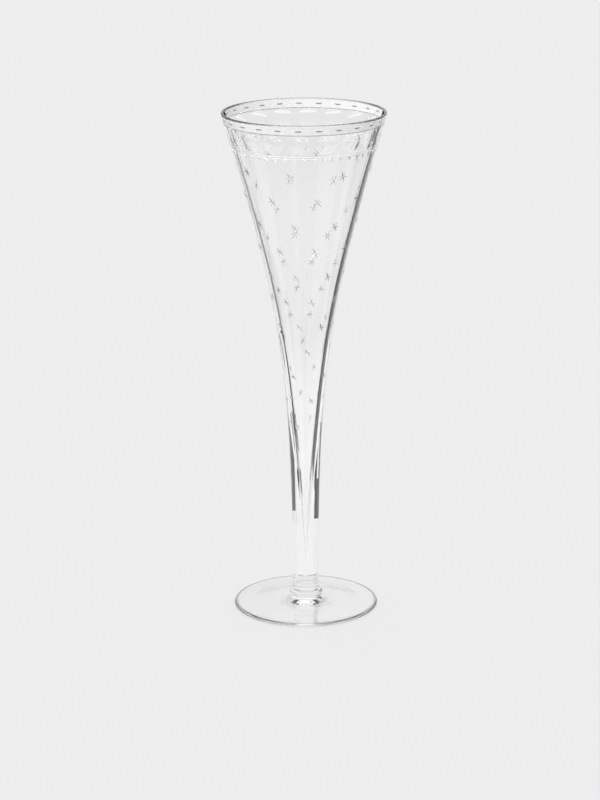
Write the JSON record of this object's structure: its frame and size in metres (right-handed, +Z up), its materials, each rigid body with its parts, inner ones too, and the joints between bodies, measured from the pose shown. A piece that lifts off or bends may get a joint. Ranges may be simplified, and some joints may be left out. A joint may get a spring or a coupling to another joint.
{
  "type": "champagne flute",
  "caption": "Tall trumpet-shaped champagne flute in clear cut glass, with a hollow drawn stem, a small collar and a flat disc foot.",
  "frame": {"origin": "centre of the foot's resting ring, on the table plane", "axes": "+Z up along the glass's own axis, from the foot to the mouth"},
  "size_m": [0.0768, 0.0768, 0.24],
  "materials": {
    "clear_glass": "polished"
  },
  "bodies": {
    "root": {"bowl_and_stem": "clear_glass", "collar": "clear_glass", "foot": "clear_glass"}
  },
  "joints": []
}
